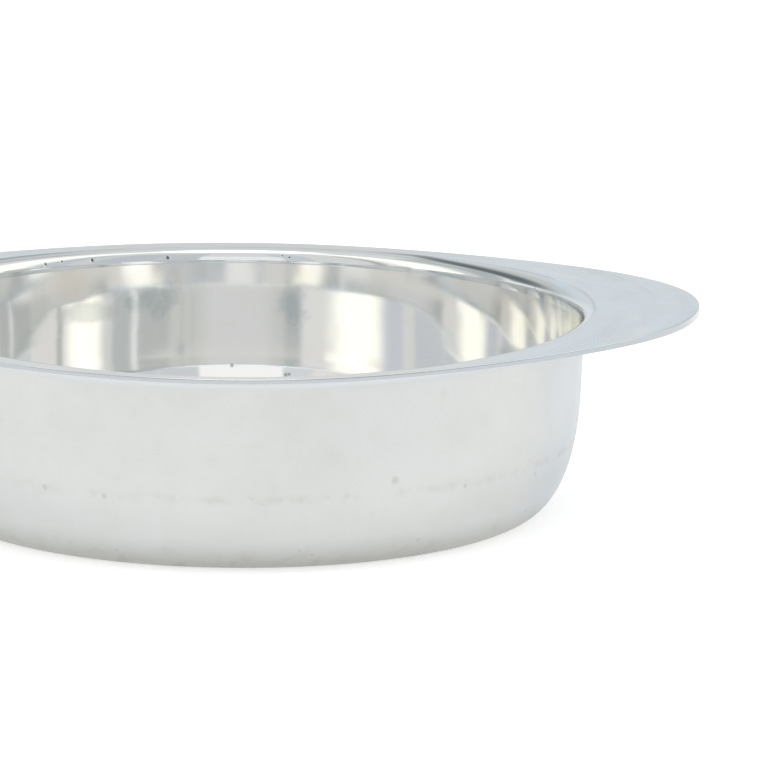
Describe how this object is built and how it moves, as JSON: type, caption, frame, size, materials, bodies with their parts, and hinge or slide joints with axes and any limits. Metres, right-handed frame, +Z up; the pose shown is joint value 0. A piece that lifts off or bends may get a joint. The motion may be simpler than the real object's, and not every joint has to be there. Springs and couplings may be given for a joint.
{
  "type": "vegetable dish",
  "caption": "Round silver-plated serving dish with steep sides, a flat base and a broad flange drawn out into two lug handles, for carrying and serving vegetables.",
  "frame": {"origin": "centre of the dish on the surface that it stands on", "axes": "+Z up along the axis of the bowl; +X through the middle of one handle; +Y towards the back of the dish as it is served"},
  "size_m": [0.32, 0.2608, 0.072],
  "materials": {
    "bright_silver": "old silver plate, bright inside, worn to a soft satin outside",
    "satin_silver": "silver plate with a fine satin polish"
  },
  "bodies": {
    "root": {"bowl": "bright_silver", "handle_flange": "satin_silver"}
  },
  "joints": []
}
